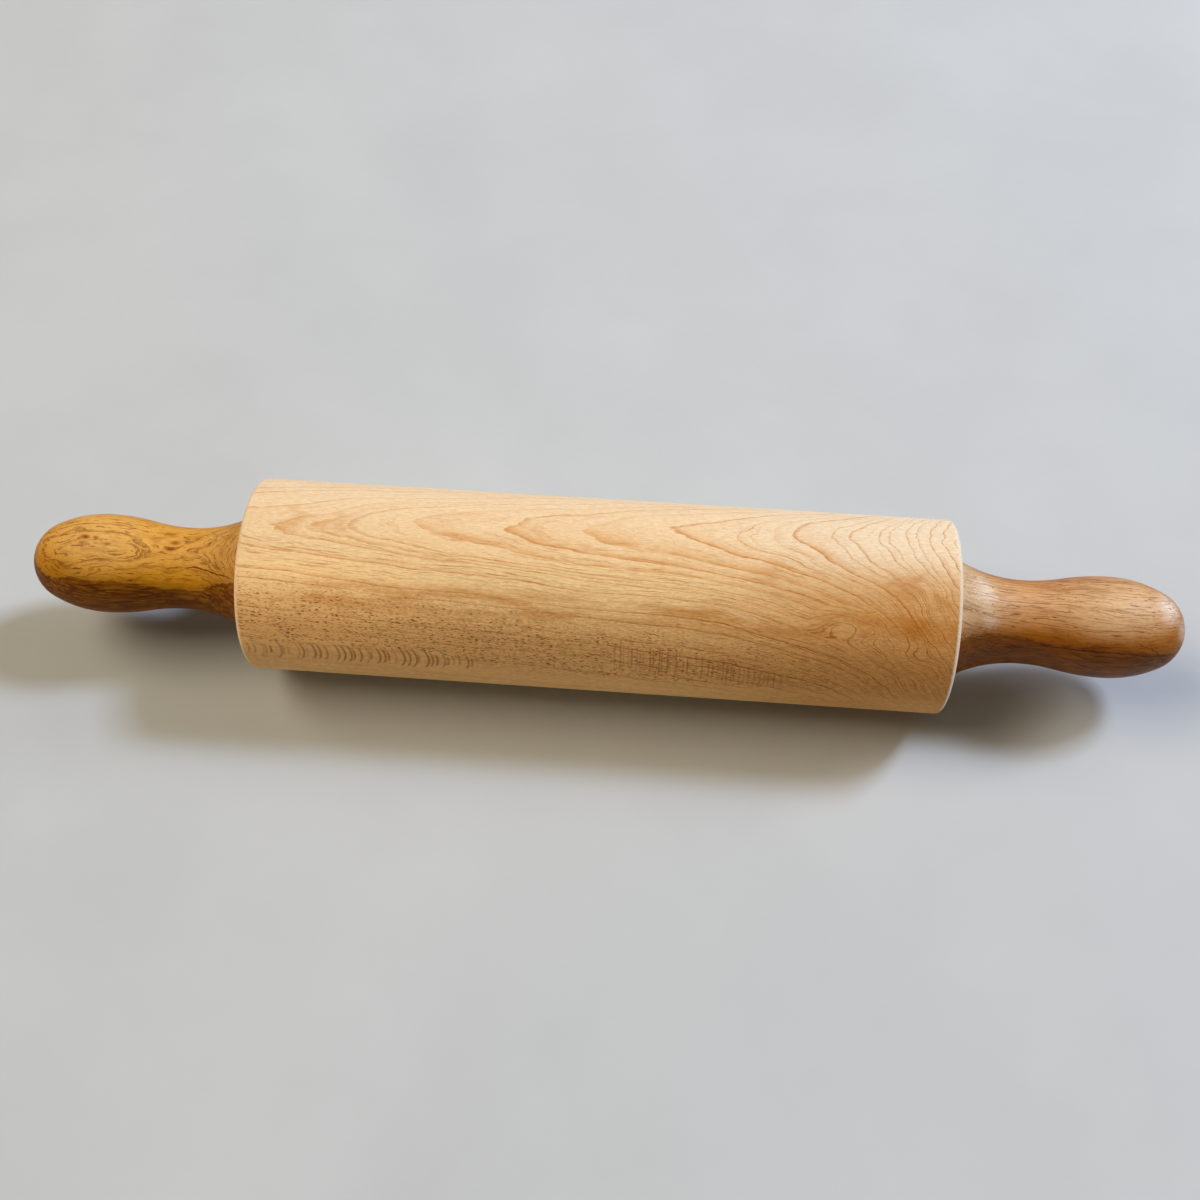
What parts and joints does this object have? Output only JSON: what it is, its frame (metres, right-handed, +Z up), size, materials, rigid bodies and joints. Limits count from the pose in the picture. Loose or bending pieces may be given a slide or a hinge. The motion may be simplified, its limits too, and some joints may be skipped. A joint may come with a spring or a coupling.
{
  "type": "rolling pin",
  "caption": "Wooden rolling pin: a straight turned roller that spins on ball bearings about a steel axle, with a contoured handle at either end.",
  "frame": {"origin": "on the axle's axis, at the middle of the roller", "axes": "+X along the axle towards the right-hand handle, +Z up, +Y away from the user"},
  "size_m": [0.4192, 0.07, 0.07],
  "materials": {
    "roller_beech": "sanded, no finish",
    "left_handle_beech": "oiled, semi-gloss",
    "right_handle_beech": "oiled, semi-gloss",
    "axle_steel": "drawn bright steel",
    "insert_brass": "turned",
    "spacer_steel": "turned, zinc plated",
    "clip_steel": "blackened spring steel",
    "bearing_steel": "ground",
    "ball_steel": "polished",
    "cage_nylon": "moulded, natural nylon",
    "shield_steel": "pressed sheet"
  },
  "bodies": {
    "handles_and_axle": {"axle": "axle_steel", "left_handle": "left_handle_beech", "right_handle": "right_handle_beech", "left_handle_insert": "insert_brass", "right_handle_insert": "insert_brass", "left_spacer": "spacer_steel", "right_spacer": "spacer_steel", "left_retaining_ring": "clip_steel", "right_retaining_ring": "clip_steel", "left_bearing_inner_ring": "bearing_steel", "right_bearing_inner_ring": "bearing_steel"},
    "roller": {"roller": "roller_beech", "left_bearing_outer_ring": "bearing_steel", "right_bearing_outer_ring": "bearing_steel", "left_outboard_shield": "shield_steel", "left_inboard_shield": "shield_steel", "right_outboard_shield": "shield_steel", "right_inboard_shield": "shield_steel"},
    "left_ball_train": {"left_bearing_balls": "ball_steel", "left_bearing_cage": "cage_nylon"},
    "right_ball_train": {"right_bearing_balls": "ball_steel", "right_bearing_cage": "cage_nylon"}
  },
  "joints": [
    {"name": "roller_spin", "type": "hinge", "parent": "handles_and_axle", "child": "roller", "pos_m": [0, 0, 0], "axis": [1, 0, 0], "continuous": true},
    {"name": "left_ball_train_spin", "type": "hinge", "parent": "handles_and_axle", "child": "left_ball_train", "pos_m": [-0.1205, 0, 0], "axis": [1, 0, 0], "continuous": true},
    {"name": "right_ball_train_spin", "type": "hinge", "parent": "handles_and_axle", "child": "right_ball_train", "pos_m": [0.1205, 0, 0], "axis": [1, 0, 0], "continuous": true}
  ],
  "couplings": [
    {"joint": "left_ball_train_spin", "follows": "roller_spin", "ratio": 0.6323},
    {"joint": "right_ball_train_spin", "follows": "roller_spin", "ratio": 0.6323}
  ]
}
